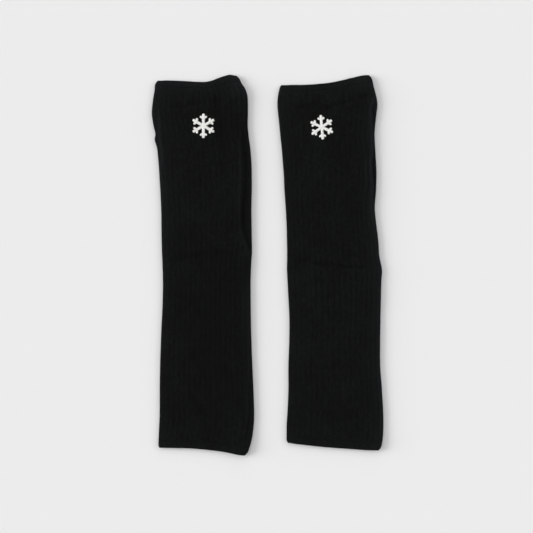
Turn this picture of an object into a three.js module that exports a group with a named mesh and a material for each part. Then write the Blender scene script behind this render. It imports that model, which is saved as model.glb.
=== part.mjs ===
// A pair of rib-knit leg warmers, laid flat side by side on a table.
// Units are millimetres. +Z is up from the table, +Y runs towards the knee ends, and the origin lies on
// the table under the middle of the pair. Each leg warmer is a knitted tube, with a turned welt at the
// knee end and at the ankle end and a small embroidered snowflake below the knee welt. Both tubes are
// flattened, so that their upper and lower panels lie on each other, with a soft fold down each side.
import * as THREE from "three";

// The knitted cloth
const RIBS_ACROSS = 18; // ribs on the upper panel, from one side fold to the other
const CLOTH = 2.0; // thickness in the furrow between two ribs
const RIB_HEIGHT = 0.9; // how far a rib stands above the furrow
const RIB_SHOULDER = 0.24; // where a rib reaches its full height, as a share of its width
const UNDER_CLOTH = 2.3; // thickness of the panel that is pressed on the table
const SEAM_GAP = 0.3; // between pieces that are joined

// The flattened section
const SIDE_HEIGHT = 3.0; // height of the widest point of a side fold
const SIDE_ROUND = 3.4; // width of the round under a side fold
const SIDE_CLOTH = 2.6; // cloth across a side fold
const CROWN_POWER = 3; // 2 is an ellipse, and more makes squarer shoulders
const LEAST_GAP = 0.4; // between the panels, inside
const FOLD_MARGIN = 4.0; // folds in the upper panel fade out this near an edge

// The welts
const WELT_DEPTH = 7.5;
const WELT_SWELL = 0.35; // how far a welt stands above the tube
const EDGE_FADE = 70; // how far down the tube the wave of an end is felt

// The embroidered snowflake
const SNOWFLAKE = {
  armLength: 13.5,
  armWidth: 2.2,
  branchAt: 7.6, // from the middle, along the arm
  branchLength: 3.6,
  branchWidth: 1.8,
  branchAngle: THREE.MathUtils.degToRad(60),
  thread: 0.8, // thickness of the stitching
};

const SIXTH = Math.PI / 3; // of a full turn, between two arms

const MIDDLE = { x: 0.05, y: 0.49 }; // moves the tables below: it puts the origin under the pair

// How many steps each part of a section has
const OUTER_ABOVE = 3 * RIBS_ACROSS; // a furrow and two shoulders for each rib
const INNER_ABOVE = 18;
const INNER_BELOW = 6;
const ROUND_STEPS = 3;
const FLAT_STEPS = 10;
const WALK_STEPS = 240; // fine steps that even out the ribs
const LEAST_STEP = 1; // rings are at least this far apart, along the tube

// sections: y along the leg, x of the left and right folds, height of the crown.
// kneeEdge and ankleEdge: how far the end runs out, at a share of the width from left to right.
// folds: a furrow of that depth and half width along a path; a negative depth is a ridge.
// lifts: a corner that curls off the table, to that height at x, y and nothing past its reach.
const LEFT = {
  name: "left",
  sections: [
    { y: -200.9, left: -118.6, right: -24.4, crown: 5.2 },
    { y: -199.8, left: -119.3, right: -22.6, crown: 5.4 },
    { y: -196.0, left: -119.7, right: -20.6, crown: 5.7 },
    { y: -190.0, left: -119.6, right: -18.2, crown: 5.9 },
    { y: -180.0, left: -119.1, right: -16.2, crown: 6.1 },
    { y: -164.0, left: -118.4, right: -15.0, crown: 6.2 },
    { y: -140.0, left: -118.3, right: -15.7, crown: 6.3 },
    { y: -110.0, left: -117.9, right: -17.0, crown: 6.2 },
    { y: -75.0, left: -116.7, right: -18.3, crown: 6.1 },
    { y: -45.0, left: -115.3, right: -18.8, crown: 6.2 },
    { y: -20.0, left: -114.8, right: -18.9, crown: 6.4 },
    { y: 3.0, left: -115.4, right: -18.2, crown: 6.3 },
    { y: 14.0, left: -115.9, right: -17.4, crown: 6.1 },
    { y: 30.0, left: -116.3, right: -17.6, crown: 6.4 },
    { y: 60.0, left: -116.7, right: -18.0, crown: 6.6 },
    { y: 90.0, left: -118.2, right: -17.6, crown: 6.5 },
    { y: 112.0, left: -119.6, right: -18.0, crown: 6.6 },
    { y: 129.0, left: -121.4, right: -19.4, crown: 6.7 },
    { y: 137.5, left: -123.9, right: -20.6, crown: 6.7 },
    { y: 143.5, left: -123.1, right: -21.3, crown: 6.7 },
    { y: 153.0, left: -125.2, right: -22.1, crown: 6.6 },
    { y: 166.0, left: -127.1, right: -22.4, crown: 6.5 },
    { y: 180.0, left: -125.7, right: -22.7, crown: 6.2 },
    { y: 188.0, left: -124.4, right: -24.4, crown: 6.0 },
    { y: 194.0, left: -123.7, right: -27.4, crown: 5.9 },
    { y: 198.5, left: -122.9, right: -30.2, crown: 5.7 },
    { y: 200.9, left: -121.4, right: -31.8, crown: 5.4 },
    { y: 201.8, left: -120.0, right: -33.4, crown: 5.2 },
  ],
  kneeEdge: [
    { across: 0, out: -0.2 },
    { across: 0.15, out: 0.1 },
    { across: 0.38, out: -0.6 },
    { across: 0.64, out: -1.1 },
    { across: 0.72, out: 0.6 },
    { across: 0.79, out: 2.8 },
    { across: 0.86, out: 4.4 },
    { across: 0.92, out: 6.2 },
    { across: 1, out: 5.0 },
  ],
  ankleEdge: [
    { across: 0, out: 0 },
    { across: 0.3, out: 0.7 },
    { across: 0.53, out: 1.8 },
    { across: 0.65, out: 2.9 },
    { across: 0.77, out: 5.0 },
    { across: 0.89, out: 7.3 },
    { across: 0.95, out: 8.3 },
    { across: 1, out: 7.6 },
  ],
  folds: [
    { what: "side groove", depth: 1.9, half: 1.9,
      path: [[-26.6, 146], [-25.3, 115], [-25.1, 71], [-25.0, 47], [-22.4, 31], [-18.4, 15]] },
    { what: "lip beside the groove", depth: -0.5, half: 2.2,
      path: [[-29.2, 110], [-29.0, 60], [-28.4, 42], [-25.2, 28], [-20.5, 13]] },
    { what: "roll of the left edge", depth: 0.9, half: 1.9,
      path: [[-119.9, 190], [-121.0, 168], [-119.8, 153], [-121.6, 141]] },
    { what: "packing crease", depth: 0.7, half: 3.0, path: [[-104, 14], [-74, 16.5], [-34, 19.5]] },
    { what: "dip below the knee welt", depth: 0.8, half: 7.0, path: [[-62, 185], [-44, 179]] },
    { what: "roll of the ankle edge", depth: 0.8, half: 2.2,
      path: [[-21.6, -108], [-20.4, -149], [-22.6, -182], [-27.5, -197]] },
  ],
  lifts: [
    { x: -30, y: 207, reach: 48, height: 3.2 },
    { x: -24, y: -207, reach: 36, height: 2.0 },
  ],
  snowflake: { x: -70.4, y: 152.5, turn: 0 },
};

const RIGHT = {
  name: "right",
  sections: [
    { y: -195.6, left: 23.0, right: 122.4, crown: 5.2 },
    { y: -194.5, left: 21.8, right: 124.0, crown: 5.4 },
    { y: -191.0, left: 21.3, right: 125.5, crown: 5.6 },
    { y: -185.0, left: 21.1, right: 126.4, crown: 5.8 },
    { y: -175.0, left: 21.3, right: 127.0, crown: 6.0 },
    { y: -160.0, left: 22.3, right: 127.0, crown: 6.2 },
    { y: -138.0, left: 23.2, right: 125.6, crown: 6.2 },
    { y: -110.0, left: 23.2, right: 123.6, crown: 6.0 },
    { y: -84.0, left: 24.1, right: 123.5, crown: 6.1 },
    { y: -60.0, left: 24.3, right: 123.9, crown: 6.3 },
    { y: -36.0, left: 23.2, right: 124.4, crown: 6.4 },
    { y: -17.0, left: 22.2, right: 125.0, crown: 6.5 },
    { y: -6.0, left: 21.6, right: 125.6, crown: 6.5 },
    { y: 1.0, left: 21.7, right: 124.4, crown: 6.2 },
    { y: 10.0, left: 21.8, right: 122.6, crown: 6.2 },
    { y: 28.0, left: 21.6, right: 121.4, crown: 6.3 },
    { y: 50.0, left: 20.9, right: 118.6, crown: 6.4 },
    { y: 64.0, left: 20.1, right: 117.7, crown: 6.4 },
    { y: 82.0, left: 18.9, right: 119.0, crown: 6.5 },
    { y: 102.0, left: 17.9, right: 119.5, crown: 6.5 },
    { y: 125.0, left: 16.1, right: 118.3, crown: 6.6 },
    { y: 143.0, left: 14.4, right: 117.9, crown: 6.6 },
    { y: 158.0, left: 13.0, right: 119.4, crown: 6.5 },
    { y: 170.0, left: 11.8, right: 120.6, crown: 6.3 },
    { y: 178.0, left: 11.6, right: 118.6, crown: 6.2 },
    { y: 185.0, left: 12.2, right: 116.6, crown: 6.0 },
    { y: 190.0, left: 12.8, right: 115.9, crown: 5.9 },
    { y: 194.5, left: 13.5, right: 114.7, crown: 5.7 },
    { y: 196.8, left: 14.8, right: 113.2, crown: 5.4 },
    { y: 197.7, left: 16.4, right: 111.2, crown: 5.2 },
  ],
  kneeEdge: [
    { across: 0, out: -0.4 },
    { across: 0.12, out: -0.1 },
    { across: 0.35, out: 0.1 },
    { across: 0.5, out: 1.6 },
    { across: 0.63, out: 3.0 },
    { across: 0.75, out: 5.8 },
    { across: 0.87, out: 8.3 },
    { across: 1, out: 10.6 },
  ],
  ankleEdge: [
    { across: 0, out: 0.6 },
    { across: 0.15, out: 1.9 },
    { across: 0.36, out: 3.9 },
    { across: 0.64, out: 6.2 },
    { across: 0.81, out: 7.3 },
    { across: 1, out: 8.3 },
  ],
  folds: [
    { what: "side groove", depth: 1.5, half: 1.7,
      path: [[118.4, 182], [116.0, 168], [115.2, 145], [115.8, 120], [116.4, 92], [115.2, 68], [116.4, 50]] },
    { what: "lip beside the groove", depth: -0.5, half: 2.0,
      path: [[116.4, 186], [112.6, 172], [111.6, 148], [112.4, 115], [111.6, 82], [111.2, 58]] },
    { what: "packing crease", depth: 1.1, half: 2.6,
      path: [[24, 3.6], [36, 1.4], [69, -1.2], [93, -0.6], [117, 2.4]] },
    { what: "swell below the crease", depth: -0.4, half: 6.0, path: [[40, -10], [114, -9]] },
    { what: "dip below the knee welt", depth: 0.6, half: 6.0, path: [[84, 186], [104, 184]] },
    { what: "roll of the ankle edge", depth: 0.7, half: 1.9,
      path: [[119.2, -62], [119.4, -110], [121.8, -150], [121.4, -188]] },
  ],
  lifts: [
    { x: 112, y: 206, reach: 46, height: 2.8 },
    { x: 124, y: -203, reach: 30, height: 1.4 },
  ],
  snowflake: { x: 59.6, y: 151.0, turn: THREE.MathUtils.degToRad(5) },
};

// A smooth curve through the rows of a table: the value of one column where another column is at.
function through(rows, key, at, column) {
  const last = rows.length - 1;
  const place = THREE.MathUtils.clamp(at, rows[0][key], rows[last][key]);
  const i = Math.max(rows.findIndex((row) => row[key] >= place) - 1, 0);
  const slope = (k) => {
    const before = rows[Math.max(k - 1, 0)];
    const after = rows[Math.min(k + 1, last)];
    return (after[column] - before[column]) / (after[key] - before[key]);
  };
  const [a, b] = [rows[i], rows[i + 1]];
  const width = b[key] - a[key];
  const t = (place - a[key]) / width;
  const [t2, t3] = [t * t, t * t * t];
  return (
    (2 * t3 - 3 * t2 + 1) * a[column] +
    (t3 - 2 * t2 + t) * width * slope(i) +
    (3 * t2 - 2 * t3) * b[column] +
    (t3 - t2) * width * slope(i + 1)
  );
}

// The widest points and the crown of a leg warmer's section at y.
function sectionAt(leg, y) {
  const columns = ["left", "right", "crown"];
  const [left, right, crown] = columns.map((column) => through(leg.sections, "y", y, column));
  return { middle: (left + right) / 2, half: (right - left) / 2, crown };
}

// Where a point of the section at y really lies along the leg, with the wave of the two ends.
function waved(leg, section, x, y) {
  const across = THREE.MathUtils.clamp((x - section.middle) / section.half / 2 + 0.5, 0, 1);
  const knee = leg.sections.at(-1).y;
  const ankle = leg.sections[0].y;
  const nearKnee = 1 - THREE.MathUtils.smoothstep(knee - y, 0, EDGE_FADE);
  const nearAnkle = 1 - THREE.MathUtils.smoothstep(y - ankle, 0, EDGE_FADE);
  const out = through(leg.kneeEdge, "across", across, "out") * nearKnee;
  return y + out - through(leg.ankleEdge, "across", across, "out") * nearAnkle;
}

// How far a point lies from a path of straight stretches.
function distanceTo(path, x, y) {
  const point = new THREE.Vector3(x, y, 0);
  const nearest = new THREE.Vector3();
  const stretches = path.slice(1).map((end, i) =>
    new THREE.Line3(new THREE.Vector3(...path[i], 0), new THREE.Vector3(...end, 0)));
  return Math.min(...stretches.map((s) => s.closestPointToPoint(point, true, nearest).distanceTo(point)));
}

function foldDepth(leg, x, y) {
  const depth = (fold) => fold.depth * Math.exp(-((distanceTo(fold.path, x, y) / fold.half) ** 2));
  return leg.folds.reduce((sum, fold) => sum + depth(fold), 0);
}

function lift(leg, x, y) {
  const share = (l) => Math.max(0, 1 - ((x - l.x) ** 2 + (y - l.y) ** 2) / l.reach ** 2);
  return leg.lifts.reduce((sum, l) => sum + l.height * share(l) ** 2, 0);
}

// Height of the upper panel's furrows above the table, before a corner's lift.
function upperHeight(leg, section, x, y) {
  const s = Math.min(Math.abs(x - section.middle) / section.half, 1);
  const arch = (1 - s ** CROWN_POWER) ** (1 / CROWN_POWER);
  const inside = THREE.MathUtils.smoothstep(section.half * (1 - s), 0, FOLD_MARGIN);
  const dip = foldDepth(leg, x, waved(leg, section, x, y)) * inside;
  return SIDE_HEIGHT + (section.crown - SIDE_HEIGHT) * arch - dip;
}

// A point of the section, in the leg warmer's real place.
function placed(leg, section, x, y, z) {
  const along = waved(leg, section, x, y);
  return new THREE.Vector3(x, along, z + lift(leg, x, along));
}

// The upper panel's ribs: points at even steps over the section from the left fold to the right one,
// raised on each rib. swell moves the whole surface out.
function ribbedAbove(leg, section, y, swell) {
  const walk = Array.from({ length: WALK_STEPS + 1 }, (_, k) => {
    const x = section.middle - section.half * Math.cos((Math.PI * k) / WALK_STEPS);
    return new THREE.Vector2(x, upperHeight(leg, section, x, y));
  });
  const lengths = [0];
  walk.slice(1).forEach((p, k) => lengths.push(lengths[k] + p.distanceTo(walk[k])));
  const whole = lengths[WALK_STEPS];
  const points = [];
  for (let rib = 0; rib <= RIBS_ACROSS; rib++) {
    for (const shoulder of rib < RIBS_ACROSS ? [0, RIB_SHOULDER, 1 - RIB_SHOULDER] : [0]) {
      const wanted = Math.min((whole * (rib + shoulder)) / RIBS_ACROSS, whole);
      const k = Math.max(lengths.findIndex((l) => l >= wanted), 1);
      const [a, b] = [walk[k - 1], walk[k]];
      const share = (wanted - lengths[k - 1]) / (lengths[k] - lengths[k - 1]);
      const out = new THREE.Vector2(a.y - b.y, b.x - a.x).normalize();
      const raised = (shoulder ? RIB_HEIGHT : 0) + swell;
      points.push(a.clone().lerp(b, share).addScaledVector(out, raised));
    }
  }
  return points;
}

// The lower half of the section, from under the right fold, flat along the table, to under the left fold.
function flatBelow(section) {
  const points = [];
  const flatHalf = section.half - SIDE_ROUND;
  for (let k = 1; k <= ROUND_STEPS; k++) {
    const turn = (Math.PI / 2) * (k / ROUND_STEPS);
    const x = flatHalf + SIDE_ROUND * Math.cos(turn);
    points.push(new THREE.Vector2(x, SIDE_HEIGHT * (1 - Math.sin(turn))));
  }
  for (let k = 1; k <= FLAT_STEPS / 2; k++) {
    points.push(new THREE.Vector2(flatHalf * (1 - (2 * k) / FLAT_STEPS), 0));
  }
  const mirrored = points.slice(0, -1).reverse().map((p) => new THREE.Vector2(-p.x, p.y));
  return [...points, ...mirrored].map((p) => new THREE.Vector2(p.x + section.middle, p.y));
}

// The plain hollow inside: under the upper panel from left to right, and back above the lower one.
function hollow(leg, section, y, widen) {
  const half = section.half - SIDE_CLOTH + widen;
  const floor = UNDER_CLOTH - widen;
  const above = Array.from({ length: INNER_ABOVE + 1 }, (_, k) => {
    const x = section.middle + half * ((2 * k) / INNER_ABOVE - 1);
    const roof = upperHeight(leg, section, x, y) - CLOTH + widen;
    return new THREE.Vector2(x, Math.max(roof, floor + LEAST_GAP));
  });
  const below = Array.from({ length: INNER_BELOW + 1 }, (_, k) =>
    new THREE.Vector2(section.middle + half * (1 - (2 * k) / INNER_BELOW), floor));
  return [...above, ...below];
}

// One ring of the wall: its outer and inner points, in order from the left fold over the top.
function ring(leg, y, swell = 0, widen = 0) {
  const section = sectionAt(leg, y);
  const outer = [...ribbedAbove(leg, section, y, swell), ...flatBelow(section)];
  const inner = hollow(leg, section, y, widen);
  const real = (points) => points.map((p) => placed(leg, section, p.x, y, p.y));
  return { outer: real(outer), inner: real(inner) };
}

// How far round its ring a point is, so that two unlike rings can be joined: 0 and 1 at the left fold,
// and 1/2 at the right one.
function shareRound(i, above, count) {
  return (i <= above ? i / above : 1 + (i - above) / (count - above)) / 2;
}

// A closed wall through the rings: outside, inside, and the two ends.
function wallThrough(rings) {
  const corners = [];
  const faces = [];
  const starts = rings.map(({ outer, inner }) => {
    const start = { outer: corners.length, inner: corners.length + outer.length };
    corners.push(...outer, ...inner);
    return start;
  });
  const count = { outer: rings[0].outer.length, inner: rings[0].inner.length };
  const sheet = (side, flip) => {
    for (let j = 0; j + 1 < rings.length; j++) {
      for (let i = 0; i < count[side]; i++) {
        const next = (i + 1) % count[side];
        const [a, b] = [starts[j][side] + i, starts[j][side] + next];
        const [c, d] = [starts[j + 1][side] + next, starts[j + 1][side] + i];
        faces.push(...(flip ? [a, c, b, a, d, c] : [a, b, c, a, c, d]));
      }
    }
  };
  sheet("outer", false);
  sheet("inner", true);
  const closeEnd = (j, flip) => {
    const outside = (i) => starts[j].outer + (i % count.outer);
    const inside = (k) => starts[j].inner + (k % count.inner);
    let [i, k] = [0, 0];
    while (i < count.outer || k < count.inner) {
      const nextOuter = shareRound(i + 1, OUTER_ABOVE, count.outer);
      const nextInner = shareRound(k + 1, INNER_ABOVE, count.inner);
      const stepOuter = k === count.inner || (i < count.outer && nextOuter <= nextInner);
      const face = [outside(i), inside(k), stepOuter ? outside(i + 1) : inside(k + 1)];
      faces.push(...(flip ? face.reverse() : face));
      if (stepOuter) i += 1;
      else k += 1;
    }
  };
  closeEnd(0, false);
  closeEnd(rings.length - 1, true);
  const geometry = new THREE.BufferGeometry().setFromPoints(corners);
  geometry.setIndex(faces);
  geometry.computeVertexNormals();
  return geometry;
}

// The long tube between the two welts, with a ring at each section of the table.
function tube(leg) {
  const low = leg.sections[0].y + WELT_DEPTH + SEAM_GAP;
  const high = leg.sections.at(-1).y - WELT_DEPTH - SEAM_GAP;
  const inside = (y) => y > low + LEAST_STEP && y < high - LEAST_STEP;
  const between = leg.sections.map((section) => section.y).filter(inside);
  return wallThrough([low, ...between, high].map((y) => ring(leg, y)));
}

// A welt: a double edge, a little thicker than the tube and rounded where the knitting turns over.
function welt(leg, atKnee) {
  const edge = atKnee ? leg.sections.at(-1).y : leg.sections[0].y;
  const inwards = atKnee ? -1 : 1;
  const rows = [
    { fromEdge: 0, swell: -0.7, widen: -0.1 },
    { fromEdge: 0.9, swell: 0.1, widen: -0.1 },
    { fromEdge: 3.3, swell: WELT_SWELL, widen: 0 },
    { fromEdge: WELT_DEPTH, swell: 0.1, widen: 0 },
  ];
  const rings = rows.map((row) => ring(leg, edge + inwards * row.fromEdge, row.swell, row.widen));
  return wallThrough(atKnee ? rings.reverse() : rings);
}

// The outline of a six-armed snowflake: the two like sides of one arm, turned round six times.
function snowflakeShape() {
  const { armLength, armWidth, branchAt, branchLength, branchWidth, branchAngle } = SNOWFLAKE;
  const half = armWidth / 2;
  const origin = new THREE.Vector2();
  const branch = new THREE.Vector2(branchLength, 0).rotateAround(origin, branchAngle);
  const near = new THREE.Vector2(branchAt, half);
  const far = new THREE.Vector2(branchAt + branchWidth / Math.sin(branchAngle), half);
  const side = [near, near.clone().add(branch), far.clone().add(branch), far];
  side.push(new THREE.Vector2(armLength - half, half));
  const otherSide = side.map((p) => new THREE.Vector2(p.x, -p.y));
  const tip = new THREE.Vector2(armLength, 0);
  const nextArm = new THREE.Vector2(half / Math.tan(SIXTH / 2), half);
  const arm = [...otherSide, tip, ...side.reverse(), nextArm];
  const turned = (k) => arm.map((p) => p.clone().rotateAround(origin, k * SIXTH));
  return new THREE.Shape([0, 1, 2, 3, 4, 5].flatMap(turned));
}

// The snowflake lies on the ribs of the upper panel: its points follow the panel's surface.
function snowflake(leg) {
  const { x, y, turn } = leg.snowflake;
  const stitching = { depth: SNOWFLAKE.thread, bevelEnabled: false };
  const geometry = new THREE.ExtrudeGeometry(snowflakeShape(), stitching);
  geometry.rotateZ(turn + SIXTH / 2).translate(x, y, 0);
  const position = geometry.getAttribute("position");
  for (let i = 0; i < position.count; i++) {
    const [px, py] = [position.getX(i), position.getY(i)];
    const ribTop = upperHeight(leg, sectionAt(leg, py), px, py) + RIB_HEIGHT + lift(leg, px, py);
    position.setZ(i, position.getZ(i) + ribTop + SEAM_GAP);
  }
  geometry.computeVertexNormals();
  return geometry;
}

const knit = new THREE.MeshStandardMaterial({ color: 0x141514, roughness: 0.95, metalness: 0 });
const thread = new THREE.MeshStandardMaterial({ color: 0xf3f1e8, roughness: 0.6, metalness: 0 });

function piece(name, geometry, material) {
  const mesh = new THREE.Mesh(geometry, material);
  mesh.name = name;
  return mesh;
}

function legWarmer(leg) {
  const group = new THREE.Group();
  group.add(
    piece(`${leg.name}_tube`, tube(leg), knit),
    piece(`${leg.name}_knee_welt`, welt(leg, true), knit),
    piece(`${leg.name}_ankle_welt`, welt(leg, false), knit),
    piece(`${leg.name}_snowflake`, snowflake(leg), thread),
  );
  return group;
}

const pair = new THREE.Group();
pair.add(legWarmer(LEFT), legWarmer(RIGHT));
pair.position.set(MIDDLE.x, MIDDLE.y, 0);

export default pair;
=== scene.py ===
# A pair of black rib-knit leg warmers, laid flat on a pale table and seen from straight above.
# The tables are in millimetres, as the cloth was measured, and every point is turned to metres at the end.
import math

import bmesh
import bpy
import numpy as np
from mathutils import Matrix, Vector


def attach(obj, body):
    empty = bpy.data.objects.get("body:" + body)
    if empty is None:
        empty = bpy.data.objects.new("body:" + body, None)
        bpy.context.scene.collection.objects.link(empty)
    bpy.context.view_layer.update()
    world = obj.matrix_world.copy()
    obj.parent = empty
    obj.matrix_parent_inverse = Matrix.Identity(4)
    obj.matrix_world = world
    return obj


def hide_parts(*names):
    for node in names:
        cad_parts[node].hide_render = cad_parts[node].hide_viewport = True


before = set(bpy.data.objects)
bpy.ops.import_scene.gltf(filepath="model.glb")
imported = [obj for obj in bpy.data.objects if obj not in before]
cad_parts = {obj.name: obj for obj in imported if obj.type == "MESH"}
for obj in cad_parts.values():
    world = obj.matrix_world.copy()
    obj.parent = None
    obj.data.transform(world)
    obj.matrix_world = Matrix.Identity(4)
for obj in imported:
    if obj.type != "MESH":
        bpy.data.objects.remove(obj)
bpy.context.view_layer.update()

MM = 0.001

# The photograph: its size in pixels, the real width of one, and the pixel that lies on the frame's origin
PHOTO_PIXELS = 533
PIXEL = 1.10
ORIGIN_PIXEL = (267.505, 265.195)

# The knitted cloth
RIBS_ACROSS = 18  # on each panel, from one side fold to the other
WALES_PER_RIB = 3  # two knitted up, and one back in the furrow
# One rib from furrow to furrow: where each column of points lies across it, and how high
RIB_SHARES = (0.0, 0.08, 0.18, 0.33, 0.5, 0.67, 0.82, 0.92)
RIB_PROFILE = (0.0, 0.36, 0.76, 1.0, 0.95, 1.0, 0.76, 0.36)
RIB_HEIGHT = 0.22
PRESSED_RIB = 0.35  # depth of a furrow in the panel that lies on the table
CLOTH = 1.7  # thickness in a furrow of the upper panel
UNDER_CLOTH = 1.4
SIDE_CLOTH = 2.1
LEAST_GAP = 0.3  # between the two panels, inside
LEAST_WALL = 1.0
ROW_STEP = 1.65  # between two rows of the outer surface, along the leg
INSIDE_STEP = 9.0
COURSE = 2.1  # height of one knitted course, drawn half as coarse again as the real one, to show

# Unevenness that no crease explains: how high or strong it is, and the longest of its waves
SLACK_HEIGHT, SLACK_LENGTH = 0.12, 62
RIPPLE_HEIGHT, RIPPLE_LENGTH, RIPPLE_SEED = 0.06, 19, 5
RIB_WANDER, RIB_WANDER_LENGTH = 0.5, 88  # how far the ribs stray to a side
RIB_CHANGE, RIB_CHANGE_LENGTH = 0.35, 46  # by what share they stand higher or lower

# The flattened section
SIDE_HEIGHT = 3.0  # of the outermost line of a side fold
SIDE_ROUND = 3.4  # how far in from that line the fold comes down to the table
CROWN_POWER = 3  # how square the arch of the upper panel is
FOLD_MARGIN = 3.0  # creases fade out this near a side fold
NAP = 0.26  # how far the nap stands out beyond the widths in the tables, at each side fold

# The welts
WELT_DEPTH = 7.5
WELT_SWELL = 0.15
WELT_RIB_SHARE = 0.9
EDGE_FADE = 70  # how far from an end its wave dies out
EDGE_ROUND = 1.0

# The linked seam between tube and welt, which draws the knit in
SEAM_GAP = 0.005
SEAM_REACH = 1.6
SEAM_SINK = 0.06
SEAM_RIB_LOSS = 0.1  # the share of their height that the ribs lose there

# How far the paler tone reaches from a side fold and from the two ends: painted sheen at the folds, with
# some paler nap, and painted highlight at the ends
SHEEN_AND_FUZZ_SIDE_REACH = 6.5
HIGHLIGHT_KNEE_REACH = 9
HIGHLIGHT_ANKLE_REACH = 6

# The motif in satin stitch
FLAKE = {"arm_length": 13.5, "arm_width": 2.5, "branch_at": 8.2, "branch_length": 3.1, "branch_width": 2.0,
         "branch_angle": math.radians(60)}
STITCH = {"thread": 0.46, "pitch": 0.40, "rise": 0.58, "sunk": 0.18}
# The stitches draw the ribs flat this near the motif's middle, and leave them alone this far off
FLAT_UNDER_FLAKE = (11, 18)
RIB_UNDER_FLAKE = 0.15  # what is left of a rib's relief there
LEVEL_UNDER_FLAKE = 0.8  # and how high the flattened ribs lie, both as shares of the rib's height

# The camera's height above the table, and from the table's middle to its edges, in metres
CAMERA_HEIGHT = 2.2
TABLE_REACH = 4.0

# The middle of the pair's box, which the tables are moved by
MIDDLE = (0.05, 0.49)


def table(columns, *rows):
    """A table with named columns."""
    return np.array(list(rows), dtype=[(name, float) for name in columns.split()])


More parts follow.
